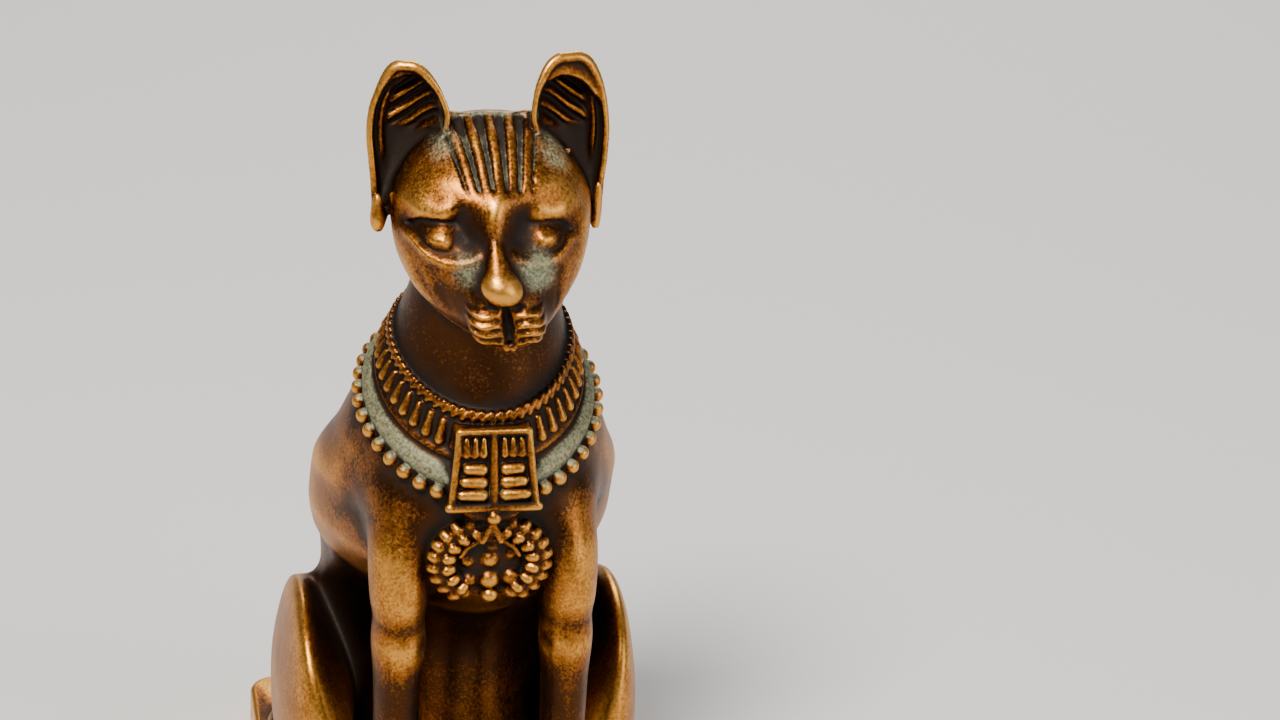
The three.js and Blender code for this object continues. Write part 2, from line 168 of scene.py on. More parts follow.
class Clay:
    """Shapes joined in order, each worked out only near its own box."""

    def __init__(self):
        self.parts = []

    def put(self, field, low, high, blend=0.0, how="add", both=False, reach=None):
        reach = blend + 2.2 if reach is None else reach
        low, high = np.asarray(low, float) - reach, np.asarray(high, float) + reach
        self.parts.append((field, low, high, blend, how, both))

    def ball(self, at, radii, blend=0.0, how="add", both=False, **turn):
        radii = (radii,) * 3 if isinstance(radii, (int, float)) else radii
        most = max(radii) if turn.get("tilt") or turn.get("slope") else None
        low = [c - (most or r) for c, r in zip(at, radii)]
        high = [c + (most or r) for c, r in zip(at, radii)]
        self.put(ellipsoid(at, radii, **turn), low, high, blend, how, both)

    def rod(self, a, b, ra, rb=None, blend=0.0, how="add", both=False):
        most = max(ra, rb or 0)
        low, high = np.minimum(a, b) - most, np.maximum(a, b) + most
        self.put(capsule(a, b, ra, rb), low, high, blend, how, both)

    def chain(self, points, radii, blend=0.0, how="add", both=False):
        radii = [radii] * len(points) if isinstance(radii, (int, float)) else radii
        for a, b, ra, rb in zip(points, points[1:], radii, radii[1:]):
            self.rod(a, b, ra, rb, blend, how, both)

    def ready(self):
        self.low = np.array([part[1] for part in self.parts])
        self.high = np.array([part[2] for part in self.parts])
        self.mirror = np.array([part[5] for part in self.parts])

    def field(self, x, y, z):
        """The field on the block spanned by three rows of coordinates."""
        first = np.array([x[0], y[0], z[0]])
        last = np.array([x[-1], y[-1], z[-1]])
        near = np.zeros(len(self.parts), bool)
        for mirrored in (False, True):
            low, high = first.copy(), last.copy()
            if mirrored:
                low[0] = 0 if first[0] <= 0 <= last[0] else min(abs(first[0]), abs(last[0]))
                high[0] = max(abs(first[0]), abs(last[0]))
            touching = ((self.low <= high) & (self.high >= low)).all(1)
            near |= touching & (self.mirror == mirrored)
        X, Y, Z = x[:, None, None], y[None, :, None], z[None, None, :]
        A = np.abs(X)
        f = np.full((len(x), len(y), len(z)), 9.0, np.float32)
        for i in np.flatnonzero(near):
            shape, _, _, blend, how, both = self.parts[i]
            if how == "change":
                f = shape(f, X, Y, Z)
                continue
            g = shape(A if both else X, Y, Z)
            f = union(f, g, blend) if how == "add" else cut(f, g, blend)
        return f


clay = Clay()

# Base

def base_field(X, Y, Z):
    corner, edge = 5.0, 0.8
    qx, qy = np.abs(X) - (33 - corner), np.abs(Y) - (44 - corner)
    plan = np.sqrt(np.maximum(qx, 0) ** 2 + np.maximum(qy, 0) ** 2) + np.minimum(np.maximum(qx, qy), 0) - corner
    a, b = plan + edge, np.abs(Z - 3.5) - 3.5 + edge
    return np.sqrt(np.maximum(a, 0) ** 2 + np.maximum(b, 0) ** 2) + np.minimum(np.maximum(a, b), 0) - edge


clay.put(base_field, (-33, -44, 0), (33, 44, 7))

# Body

body_front, body_back, body_half = profiles(BODY)
ANGLES = np.linspace(0, math.pi, 181)
EGG_STEPS = np.linspace(0, 0.4, 9)
EGG_WIDEST = [float(np.max(np.sin(ANGLES) * (1 - e * np.cos(ANGLES)))) for e in EGG_STEPS]


def egg_at(z):
    return EGG_LOW + (EGG_HIGH - EGG_LOW) * step_up(z, 70, 84)


def torso(X, Y, Z, proud=0.0):
    z = np.ravel(Z)
    front, back, half = (c(z)[None, None, :] for c in (body_front, body_back, body_half))
    middle, depth = (front + back) / 2, (back - front) / 2 + proud
    c = (middle - Y) / depth
    egg = egg_at(z)
    share = ((1 / np.interp(egg, EGG_STEPS, EGG_WIDEST)).astype(np.float32))[None, None, :]
    egg = egg.astype(np.float32)[None, None, :]
    wide = (half + proud) * share * (1 - egg * np.clip(c, -1.2, 1.2))
    px = np.abs(X) / wide
    k0 = np.sqrt(px * px + c * c)
    k1 = np.sqrt((px / wide) ** 2 + (c / depth) ** 2) + 1e-6
    return k0 * (k0 - 1) / k1


def body_point(angle, z, proud=0.0):
    front, back, half = (float(c(z)) for c in (body_front, body_back, body_half))
    egg = float(egg_at(z))
    widest = float(np.interp(egg, EGG_STEPS, EGG_WIDEST))
    x = (half + proud) * math.sin(angle) * (1 - egg * math.cos(angle)) / widest
    return np.array([x, (front + back) / 2 - ((back - front) / 2 + proud) * math.cos(angle), z])


def body_field(X, Y, Z):
    return np.maximum(torso(X, Y, Z), np.maximum(Z - 114, 5.5 - Z))


clay.put(body_field, (-26, -33, 5.5), (26, 41, 114), 0.5)

leg_x, leg_y, leg_rx, leg_ry = profiles(FORELEG)


def foreleg(X, Y, Z):
    z = np.ravel(Z)
    x, y, rx, ry = (c(z)[None, None, :] for c in (leg_x, leg_y, leg_rx, leg_ry))
    px, py = (X - x) / rx, (Y - y) / ry
    k0 = np.sqrt(px * px + py * py)
    k1 = np.sqrt((px / rx) ** 2 + (py / ry) ** 2) + 1e-6
    return np.maximum(k0 * (k0 - 1) / k1, np.maximum(Z - 83, 5.5 - Z))


def shoulder(f, X, Y, Z):
    """The foreleg, whose top flows out of the chest."""
    blend = 1.2 + 4.8 * step_up(Z, 56, 74)
    return union_soft(f, foreleg(np.abs(X), Y, Z), blend)


def union_soft(a, b, blend):
    h = np.maximum(blend - np.abs(a - b), 0)
    return np.minimum(a, b) - h * h * 0.25 / blend


def haunch(X, Y, Z):
    """A flat rounded fin, thinner towards its top."""
    thin = step_up(Z, 27, 46)
    y, z = Y - 7, Z - 26
    y, z = y * math.cos(0.42) - z * math.sin(0.42), y * math.sin(0.42) + z * math.cos(0.42)
    rx = 6.9 - 3.2 * thin
    px, py, pz = (X - 24.7 - 2.4 * thin) / rx, y / 24, z / 19.5
    k0 = (np.abs(px) ** 2.2 + np.abs(py) ** 2.2 + np.abs(pz) ** 2.2) ** (1 / 2.2)
    k1 = np.sqrt((px / rx) ** 2 + (py / 24) ** 2 + (pz / 19.5) ** 2) + 1e-6
    return k0 * (k0 - 1) / k1


clay.put(shoulder, (-20.5, -36, 5.5), (20.5, -11, 83), how="change", reach=6)
def with_haunch(f, X, Y, Z):
    """The haunch stands clear in front and melts into the back, above the base."""
    return union_soft(f, haunch(np.abs(X), Y, Z), 1.2 + 6.5 * step_up(Y, -2, 24) * step_up(Z, 11, 22))


clay.put(with_haunch, (-32, -20, 4), (32, 33, 48), how="change", reach=8)
clay.ball((8.8, -31.8, 54.4), (1.3, 2.6, 1.3), 1.8, "cut", both=True)

# Feet, each with four toes and fine claws between them
for (x, y, z), (rx, ry, rz) in (((13.5, -33, 9.6), (6.2, 9, 5)), ((23.5, -7.5, 10), (5.6, 16.5, 5.2))):
    clay.ball((x, y, z), (rx, ry, rz), 1.2, both=True)
    for i in range(4):
        step = i - 1.5
        toe_y = y - ry + 2.5 + 0.5 * step * step
        clay.ball((x + step * 2.75, toe_y, z - 1.2), (1.75, 3.6, 2.7), 0.4, both=True)
        toe_x = x + step * 2.75
        clay.rod((toe_x, toe_y - 3.2, z - 2.2), (toe_x, toe_y - 3.7, z - 3.0), 0.5, 0.3, 0.2, both=True)


def through(points, count):
    """Points along a smooth route."""
    points = [np.asarray(p, float) for p in points]
    points = [2 * points[0] - points[1]] + points + [2 * points[-1] - points[-2]]
    route = []
    for i in range(1, len(points) - 2):
        p0, p1, p2, p3 = points[i - 1 : i + 3]
        for t in np.linspace(0, 1, count, endpoint=False):
            route.append(0.5 * (2 * p1 + (p2 - p0) * t + (2 * p0 - 5 * p1 + 4 * p2 - p3) * t * t
                                + (3 * p1 - p0 - 3 * p2 + p3) * t**3))
    return route + [points[-2]]


clay.chain([(x, y, 9.1) for x, y in through(TAIL_ROUTE, 6)], 2.6, 0.3)

# Head

head_top, head_bottom, head_half = profiles(HEAD)


face_middle = profiles(FACE_MIDDLE)[0]


def face_x(X, Y, Z):
    """Sideways distance from the face's middle line, which wanders a little."""
    z = np.ravel(Z)
    return X - face_middle(z)[None, None, :] * step_up(-Y, 22, 31)


def head_field(X, Y, Z):
    y = np.ravel(Y)
    top, bottom, half = (c(y)[None, :, None] for c in (head_top, head_bottom, head_half))
    high = (top - bottom) / 2
    x = face_x(X, Y, Z)
    half = half * np.where(x > 0, 1.04, 0.99)
    level = Z - (top + bottom) / 2
    px, pz = np.abs(x) / half, np.abs(level) / high
    n = HEAD_SQUARE_LOW + (HEAD_SQUARE_HIGH - HEAD_SQUARE_LOW) * step_up(level, 0, 6)
    k0 = (px**n + pz**n) ** (1 / n)
    k1 = np.sqrt((px / half) ** 2 + (pz / high) ** 2) + 1e-6
    return cut(k0 * (k0 - 1) / k1, -np.maximum(-36.0 - Y, Y - 1), 1.5)


def with_head(f, X, Y, Z):
    """The nape flows into the head, the jaw stands clear of the throat."""
    return union_soft(f, head_field(X, Y, Z), 1.8 + 7 * step_up(Y, -16, -4))


clay.put(with_head, (-17, -37, 106), (17, 1, 142.2), how="change", reach=9)
clay.ball((0, -5.5, 115), (9.5, 5.0, 8), 5.0)
clay.ball((-0.2, -12.8, 138.3), (8.6, 2.6, 2.5), 1.5, power=3.0)


def on_face(shape):
    return lambda X, Y, Z: shape(np.abs(face_x(X, Y, Z)), Y, Z)


def face_ball(at, radii, blend, how="add", **turn):
    most = max(radii)
    low = [-at[0] - most - 1, at[1] - most, at[2] - most]
    high = [at[0] + most + 2, at[1] + most, at[2] + most]
    clay.put(on_face(ellipsoid(at, radii, **turn)), low, high, blend, how)


def face_rod(a, b, ra, rb, blend, how="add"):
    most = max(ra, rb)
    low = [-max(a[0], b[0]) - most - 1, min(a[1], b[1]) - most, min(a[2], b[2]) - most]
    high = [max(a[0], b[0]) + most + 2, max(a[1], b[1]) + most, max(a[2], b[2]) + most]
    clay.put(on_face(capsule(a, b, ra, rb)), low, high, blend, how)


def soft_line(x, z, points, width):
    """1 on a line drawn over the face, fading to 0 beside it."""
    nearest = 1e6
    for (ax, az), (bx, bz) in zip(points, points[1:]):
        ux, uz = bx - ax, bz - az
        t = np.clip(((x - ax) * ux + (z - az) * uz) / (ux * ux + uz * uz), 0, 1)
        nearest = np.minimum(nearest, (x - ax - t * ux) ** 2 + (z - az - t * uz) ** 2)
    return np.exp(-nearest / width**2)


# The face in relief: lines (side distance, height), their width and how far they stand out or sink in
RELIEF = [
    ([(0, 131.2), (2.4, 131.8), (6.2, 133.4), (9.8, 132.8), (12.8, 130.6)], 2.2, 0.8),  # brow
    ([(3.9, 126.4), (5.0, 128.4)], 2.1, -2.0),  # hollow beside the nose
    ([(5.0, 126.0), (11.8, 126.0)], 2.2, -1.2),  # socket
    ([(8.0, 125.9), (9.4, 125.8)], 1.15, 2.0),  # closed eye
    ([(7.2, 130.2), (11.0, 129.6)], 1.5, 0.9),  # upper lid
    ([(5.6, 128.0), (8.5, 128.1), (11.0, 127.5), (12.4, 126.0)], 0.45, -0.6),  # line over the eye
    ([(6.2, 124.2), (8.8, 123.9), (11.2, 124.6)], 0.4, -0.35),  # line under the eye
    ([(3.0, 124.4), (4.9, 123.2), (7.4, 122.6), (10.2, 123.0), (12.6, 124.8)], 0.9, 1.1),  # ledge under the eye
    ([(4.6, 119.6), (7.6, 117.4)], 2.6, -0.6),  # cheek behind the muzzle
    ([(0, 132.0), (0, 121.0)], 1.9, 1.7),  # bridge of the nose
    ([(10.4, 121.0), (8.4, 115.0)], 0.3, -0.14),  # faint cuts on the cheek
    ([(12.2, 120.0), (10.2, 114.6)], 0.3, -0.14),
]


def face_relief(f, X, Y, Z):
    a = np.abs(face_x(X, -30 + 0 * Y[:, :1], Z))
    rise = sum(height * soft_line(a, Z, points, width) for points, width, height in RELIEF)
    return f - rise.astype(np.float32) * step_up(-Y, 17, 22)


clay.put(face_relief, (-17, -40, 109), (17, -17, 137), how="change")

# Nose: the bridge swells to a round ball
face_rod((0, -31.6, 125.0), (0, -34.0, 121.0), 1.3, 2.75, 1.0)
face_ball((0, -34.5, 120.0), (3.3, 3.3, 2.8), 0.7)

# Whisker pads with short uneven ridges, parted by a deep groove, and a chin
face_ball((3.1, -33.0, 114.1), (3.15, 3.7, 3.8), 0.5)
face_ball((0, -31.7, 110.9), (3.0, 3.1, 2.0), 0.8)


def muzzle_lines(f, X, Y, Z):
    x = face_x(X, Y, Z)
    a = np.abs(x)
    front = step_up(-Y, 31.4, 33.0)
    level = Z - 0.10 * a + 0.22 * np.sin(1.3 * x + 0.8)
    wave = np.sin((level - 110.5) * (2 * math.pi / 1.62))
    share = 0.8 + 0.2 * np.sin(2.3 * a + 1.9 * Z)
    ridged = step_up(a, 0.9, 1.7) * (1 - step_up(a, 5.4, 6.4))
    ridged = ridged * step_up(Z, 110.0, 110.8) * (1 - step_up(Z, 116.8, 117.6))
    f = f - 0.36 * wave * ridged * front * share
    # the parting has sloping sides
    groove = np.maximum(1.35 - 1.35 * a, 0) * step_up(Z, 109.8, 111) * (1 - step_up(Z, 117.0, 118.2)) * front
    return f + groove


clay.put(muzzle_lines, (-8, -39, 108), (9, -30, 119), how="change")
face_rod((0.7, -36.4, 117.2), (2.5, -35.6, 117.4), 0.75, 0.5, 0.4, "cut")
face_ball((0.5, -34.7, 110.2), (0.6, 0.8, 0.8), 0.2)
face_ball((0.2, -34.6, 111.8), (0.5, 0.6, 0.5), 0.2)

# Jaw: a fine raised rim from under the ear to the chin

def settled(shape, point, turns=12):
    """A point moved onto the surface of a shape."""
    point = np.array(point, float)
    for _ in range(turns):
        level = float(shape(*point.reshape(3, 1, 1, 1)).item())
        slope = np.array([
            float(shape(*(point + shift).reshape(3, 1, 1, 1)).item()) - level for shift in 0.02 * np.eye(3)
        ]) / 0.02
        point = point - slope * level / max(float(slope @ slope), 1e-3)
    return point


JAW = [(12.6, -19.0, 112.2), (10.8, -22.6, 110.6), (8.2, -26.4, 109.8), (5.2, -29.8, 109.4), (1.6, -32.6, 109.4)]
for side in (-1, 1):
    rim = [settled(head_field, (side * x, y, z)) for x, y, z in through(JAW, 4)]
    clay.chain([tuple(p) for p in rim], 0.3, 0.4)

# Stripes of the forehead: five raised bands that run together at the brow
STRIPE_TOP, STRIPE_BOTTOM, STRIPE_DEEP = 3.3, 2.0, 0.62


def stripe_places(X, Y, Z):
    """How far from the nearest band's middle, how much the stripes show here and how much of it is ground."""
    down = np.clip((141.5 - Z) / 9.5, 0, 1) * 0.5 + np.clip((-14.0 - Y) / 13.5, 0, 1) * 0.5
    pitch = STRIPE_TOP + (STRIPE_BOTTOM - STRIPE_TOP) * down
    x = (X + 0.3 - 0.6 * down) / pitch
    across = np.abs(x - np.clip(np.round(x), -2, 2))
    half_band = 0.25 + 0.13 * down
    inside = (1 - step_up(np.abs(x), 2.40, 2.54)) * step_up(-Y, 13.2, 14.4) * (1 - step_up(down, 0.84, 1.0))
    ground = inside * step_up(across, half_band - 0.05, half_band + 0.07)
    return across, inside, ground


def stripes(f, X, Y, Z):
    across, inside, ground = stripe_places(X, Y, Z)
    return f + STRIPE_DEEP * ground + (0.2 * np.clip(across / 0.3, 0, 1) ** 2 - 0.1) * inside


clay.put(stripes, (-9, -31, 130), (9, -11, 143), how="change")
CROWN = [(-8.2, -12.4, 140.4), (-6, -13.2, 140.7), (0, -13.6, 140.6), (6, -13.2, 140.7), (8.2, -12.4, 140.4)]
clay.chain(CROWN, 0.6, 1.0)

# Ears

EAR_FRONT, EAR_LEVEL, EAR_LEAN, EAR_TURN, EAR_MIDDLE = -15.6, 134, 0.16, 0.25, 12.5
EAR_SLANT = math.sqrt(1 + EAR_LEAN**2 + EAR_TURN**2)


def ear_plane(X, Z):
    return EAR_FRONT + EAR_LEAN * (Z - EAR_LEVEL) + EAR_TURN * (X - EAR_MIDDLE)


def inside_outline(x, z, edge):
    """How far each point lies inside a closed outline, negative outside."""
    px, pz = x[..., None], z[..., None]
    a, b = edge, np.roll(edge, -1, 0)
    ab = b - a
    t = ((px - a[:, 0]) * ab[:, 0] + (pz - a[:, 1]) * ab[:, 1]) / np.maximum((ab**2).sum(1), 1e-12)
    t = np.clip(t, 0, 1)
    d = np.sqrt(((px - a[:, 0] - t * ab[:, 0]) ** 2 + (pz - a[:, 1] - t * ab[:, 1]) ** 2).min(-1))
    above = (a[:, 1] > pz) != (b[:, 1] > pz)
    rise = np.where(ab[:, 1] == 0, 1e-12, ab[:, 1])
    crossing = above & (px < a[:, 0] + (pz - a[:, 1]) * ab[:, 0] / rise)
    return (np.where(crossing.sum(-1) % 2 == 1, d, -d)).astype(np.float32)


def ear(stations, cap_low, slope):
    """One ear as if on the right: a shell with a rim, a thick cap and ridges in its hollow."""
    inner, outer, depth = profiles(stations)
    levels = np.linspace(stations[0][0], stations[-1][0], 56)
    edge = np.array([(float(outer(z)), z) for z in levels] + [(float(inner(z)), z) for z in levels[::-1]])

    def field(X, Y, Z):
        x, z = X[:, 0, 0], Z[0, 0, :]
        flat_x, flat_z = np.meshgrid(x, z, indexing="ij")
        s2 = inside_outline(flat_x, flat_z, edge)
        half = np.maximum((outer(z) - inner(z)) / 2, 0.4)[None, :]
        share = np.clip(s2 / half, 0, 1)
        back2 = depth(z)[None, :] * np.sqrt(1 - (1 - share) ** 2)
        ceiling = cap_low - slope * (flat_x - 12.5) - 0.12 * (flat_x - 12.5) ** 2
        cap = 1 - step_up(flat_z, ceiling - 0.8, ceiling + 0.3)
        rim2 = 0.5 + 0.3 * step_up(flat_z, 144, 148.5)
        hollow2 = np.maximum(back2 - 1.3, 0) * step_up(s2, rim2, rim2 + 1.1) * cap
        # diagonal ridges in the hollow, and a fold beside the outer rim
        beside = outer(z)[None, :] - flat_x
        q = flat_x * 0.62 + flat_z * 0.785 + 0.12 * np.sin(flat_x * 1.1)
        ridged = step_up(s2, 1.2, 2.0) * step_up(flat_z, 137.6, 139.4) * cap * step_up(beside, 3.0, 3.9)
        wave = np.clip(np.sin(q * (2 * math.pi / 2.05) + 0.4) * 1.2 + 0.25, -0.7, 1)
        hollow2 = hollow2 - 0.55 * wave * ridged
        fold = np.exp(-(((beside - 2.4) / 0.6) ** 2)) * step_up(flat_z, 131, 137)
        fold = fold * (1 - step_up(flat_z, 143.5, 145.5))
        hollow2 = hollow2 - 1.1 * fold
        s, back, hollow, rim = (v[:, None, :].astype(np.float32) for v in (s2, back2, hollow2, rim2))
        d = (Y - ear_plane(X, Z)) / EAR_SLANT
        shell = np.maximum(np.maximum(hollow - d, d - back), -s)
        tube = np.sqrt((s - rim) ** 2 + (d - 0.15) ** 2) - rim
        return union(shell, tube, 0.25)

    return field


def mirrored(field):
    return lambda X, Y, Z: field(-X, Y, Z)


clay.put(mirrored(ear(EARS[-1], 147.6, 0.05)), (-20, -19, 122), (-6, -5, 150.2), 0.7)
clay.put(ear(EARS[1], 147.2, 0.22), (6, -19, 122), (20, -5, 151.4), 0.7)

# A drop-shaped lobe and a thin fold below each ear, and a few granules at the foot of the hollow
clay.ball((-17.8, -16.6, 126.0), (1.0, 1.2, 3.1), 0.9)
clay.ball((-17.7, -16.9, 124.6), (1.15, 1.3, 1.9), 0.6)
clay.ball((17.6, -16.4, 126.6), (0.75, 1.0, 3.9), 0.8)
clay.chain([(-15.5, -16.9, 128.9), (-15.2, -17.5, 125.8), (-14.8, -18.0, 122.6)], [0.45, 0.5, 0.3], 0.5)
clay.chain([(15.7, -16.9, 128.9), (15.5, -17.5, 125.8)], [0.4, 0.3], 0.5)
for x, y, z, size in (
    (-11.1, -15.0, 138.0, 0.42), (-12.2, -15.2, 137.0, 0.5), (-13.6, -15.3, 136.2, 0.45),
    (-15.3, -15.5, 135.0, 0.7), (-14.5, -16.2, 133.8, 0.45), (-13.0, -15.6, 135.2, 0.35),
    (7.2, -14.6, 141.4, 0.5), (12.6, -15.3, 135.4, 0.45),
):
    clay.ball((x, y, z), size, 0.15)

# Collar: rows between two planes that slope down to the chest

COLLAR_SLOPE, CHEST_Y, CHEST_Z, COLLAR_WIDTH = 0.45, -33.0, 82.0, 12.3
PLANE = math.sqrt(1 + COLLAR_SLOPE**2)


def collar_lift(Y, Z):
    """Height above the collar's lower plane."""
    return Z - CHEST_Z - COLLAR_SLOPE * (Y - CHEST_Y)


def collar_point(angle, lift, proud):
    low, high = 60.0, 113.0
    for _ in range(36):
        z = (low + high) / 2
        if collar_lift(body_point(angle, z, proud)[1], z) > lift:
            high = z
        else:
            low = z
    return body_point(angle, low, proud)


collar_bulge = smooth_through(
    [-0.2, 0.0, 0.6, 1.2, 2.6, 4.0, 4.5, 4.9, 5.4, 5.8, 6.2, 6.6, 10.6, 11.0, 11.6, 12.3, 12.5],
    [-0.9, 0.35, 0.5, 0.75, 1.3, 0.8, 0.3, 0.3, 0.75, 0.75, 0.3, 0.25, 0.25, 0.3, 0.9, 0.5, -0.9],
)


def collar_field(X, Y, Z):
    lift = collar_lift(Y, Z)
    skin = torso(X, Y, Z)
    proud = collar_bulge(np.clip(lift, -0.2, 12.5))
    ends = np.maximum(-0.1 - lift, lift - COLLAR_WIDTH - 0.1) / PLANE
    return np.maximum(skin - proud, ends)


clay.put(collar_field, (-26, -35, 78), (26, 14, 113), 0.15)
BEADS = 44
for i in range(BEADS):
    angle = 2 * math.pi * i / BEADS
    clay.ball(tuple(collar_point(angle, 0.1, 0.75)), 1.3, 0.12)
PETALS = 46
for i in range(PETALS):
    angle = 2 * math.pi * (i + 0.5) / PETALS
    low, high = collar_point(angle, 7.0, 0.35), collar_point(angle, 9.6, 0.35)
    clay.rod(tuple(low), tuple(high), 0.95, 0.6, 0.15)
ROPE = 64
for i in range(ROPE):
    angle = 2 * math.pi * i / ROPE
    low, high = collar_point(angle, 11.0, 0.5), collar_point(angle + 0.09, 12.1, 0.5)
    clay.rod(tuple(low), tuple(high), 0.5, 0.5, 0.1)

# Plaque: a framed panel with a middle column, steps of bars and a row of drops

LEAN = 0.2


def on_plaque(x, up, out):
    """A point on the plaque by its place across, up from its foot and out from its face."""
    y = -34.6 - out * math.cos(LEAN) + up * math.sin(LEAN)
    return (x, y, 81.6 + up * math.cos(LEAN) + out * math.sin(LEAN))


def panel_field(X, Y, Z):
    y, z = Y + 34.6, Z - 81.6
    out = -y * math.cos(LEAN) + z * math.sin(LEAN)
    up = z * math.cos(LEAN) + y * math.sin(LEAN)
    half = 7.2 - 0.11 * up
    sides = np.maximum(np.abs(X) - half, np.abs(up - 6.6) - 6.6)
    return np.maximum(sides, np.maximum(out + 0.5, -out - 7)) - 0.1


clay.put(panel_field, (-7.6, -36, 80), (7.6, -26, 96), 0.2)
for side in (-1, 1):
    clay.rod(on_plaque(side * 6.8, 0.3, 0), on_plaque(side * 5.5, 12.8, 0), 0.65, blend=0.15)
    for i in range(3):
        up = 2.3 + 2.15 * i
        inner, outer = on_plaque(side * 1.9, up, -0.1), on_plaque(side * (5.1 - 0.45 * i), up + 0.1, -0.1)
        clay.rod(inner, outer, 0.98, 0.9, 0.1)
    for i in range(3):
        x = side * (1.7 + 1.4 * i)
        clay.rod(on_plaque(x, 9.1, -0.1), on_plaque(x * 0.97, 11.4, -0.1), 0.72, 0.45, 0.1)
clay.rod(on_plaque(-7.2, 0.3, 0.1), on_plaque(7.2, 0.3, 0.1), 0.75, blend=0.15)
clay.rod(on_plaque(-5.6, 12.7, 0), on_plaque(5.6, 12.7, 0), 0.65, blend=0.15)
clay.rod(on_plaque(0, 0.6, 0), on_plaque(0, 12.6, 0), 0.85, 0.65, 0.15)
clay.ball((0, -31.8, 80.6), (5.2, 2.9, 2.6), 0.6)
clay.ball(on_plaque(0, -1.3, 0.2), 1.25, 0.15)

# Pendant: two rows of small lobes round a dark middle with stacked balls

PENDANT_Z, SQUASH = 71.0, 0.83


def ring_field(X, Y, Z):
    z = (Z - PENDANT_Z) / SQUASH
    ring = np.sqrt((np.sqrt(X**2 + z**2) - 7.8) ** 2 + (Y + 31.2) ** 2) - 2.1
    return np.maximum(ring, (-z - 1.3 * np.abs(X)) * 0.5)


def on_ring(turn, reach, out):
    return (reach * math.sin(turn), -31.2 - out, PENDANT_Z + SQUASH * reach * math.cos(turn))


clay.put(ring_field, (-10.5, -33.6, 62), (10.5, -28, 80), 0.4)
for i in range(20):
    turn = math.radians(-142 + 284 * i / 19)
    clay.rod(on_ring(turn, 8.9, 1.3), on_ring(turn, 9.5, 0.9), 1.05, 0.95, 0.1)
for i in range(15):
    turn = math.radians(-140 + 280 * i / 14)
    clay.rod(on_ring(turn, 6.5, 1.9), on_ring(turn, 7.2, 2.1), 0.85, 0.95, 0.1)
for side in (-1, 1):
    clay.rod((0, -33.9, 78.6), (side * 1.5, -33.7, 75.4), 0.75, 0.6, 0.1)
arc = [on_ring(math.radians(a), 4.9, 1.3) for a in range(-75, 76, 25)]
clay.chain(arc, 0.5, 0.1)
for x, up, size in (
    (0.3, 2.6, 1.1), (0, 0.4, 1.6), (-3.6, 0.1, 1.15), (3.2, 1.0, 1.0), (0, -3.3, 1.7), (3.5, -3.0, 1.5),
    (-3.3, -3.4, 1.2), (-4.2, -5.6, 1.2), (0.2, -6.4, 1.3), (4.0, -5.7, 1.35),
):
    clay.ball((x, -31.9, PENDANT_Z + up), (size * 1.1, size, size), 0.15)
clay.ball((0, -31.0, PENDANT_Z), (6.5, 1.6, 5.4), 0.3)

clay.ready()


# Meshing

def spread_grid():
    low = np.array([-34.2, -45.3, -0.95])
    counts = np.ceil((np.array([34.2, 45.3, 151.0]) - low) / STEP).astype(int) + 1
    counts = (counts + 15) // 16 * 16
    return low, counts


def sample_field():
    low, counts = spread_grid()
    axes = [(low[i] + STEP * np.arange(counts[i])).astype(np.float32) for i in range(3)]
    coarse = 4
    rough = np.empty([c // coarse for c in counts], np.float32)
    size = 16
    for i in range(0, rough.shape[0], size):
        for j in range(0, rough.shape[1], size):
            for k in range(0, rough.shape[2], size):
                starts = zip((i, j, k), counts)
                spans = [slice(s * coarse, min((s + size) * coarse, c), coarse) for s, c in starts]
                block = clay.field(*(a[s] for a, s in zip(axes, spans)))
                rough[i : i + size, j : j + size, k : k + size] = block
    values = np.empty(counts, np.float32)
    blocks = 16 // coarse
    reach = 1.6 + 1.3 * STEP
    for i in range(0, counts[0], 16):
        for j in range(0, counts[1], 16):
            for k in range(0, counts[2], 16):
                a, b, c = i // coarse, j // coarse, k // coarse
                around = rough[tuple(slice(max(v - 1, 0), v + blocks + 1) for v in (a, b, c))]
                part = values[i : i + 16, j : j + 16, k : k + 16]
                if np.abs(around).min() < reach or (around.min() < 0 < around.max()):
                    part[...] = clay.field(axes[0][i : i + 16], axes[1][j : j + 16], axes[2][k : k + 16])
                else:
                    part[...] = 5.0 if around.flat[0] > 0 else -5.0
    return low, values


def look_up(values, low, points):
    """The field between the samples."""
    g = (points - low) / STEP
    cell = np.clip(np.floor(g).astype(np.int64), 0, np.array(values.shape) - 2)
    t = (g - cell).astype(np.float32)
    flat = values.ravel()
    _, ny, nz = values.shape
    at = (cell[:, 0] * ny + cell[:, 1]) * nz + cell[:, 2]
    result = 0
    for dx in (0, 1):
        wx = t[:, 0] if dx else 1 - t[:, 0]
        for dy in (0, 1):
            wy = t[:, 1] if dy else 1 - t[:, 1]
            for dz in (0, 1):
                wz = t[:, 2] if dz else 1 - t[:, 2]
                result = result + wx * wy * wz * flat[at + (dx * ny + dy) * nz + dz]
    return result


def gradient(values, low, points, reach=0.6 * STEP):
    sides = []
    for axis in range(3):
        shift = np.zeros(3)
        shift[axis] = reach
        sides.append(look_up(values, low, points + shift) - look_up(values, low, points - shift))
    return np.stack(sides, 1) / (2 * reach)


def settle(values, low, points, turns=2):
    """Moves points onto the surface."""
    for _ in range(turns):
        slope = gradient(values, low, points)
        level = look_up(values, low, points)
        move = -(level / np.maximum((slope**2).sum(1), 0.05))[:, None] * slope
        points = points + np.clip(move, -0.5 * STEP, 0.5 * STEP)
    return points


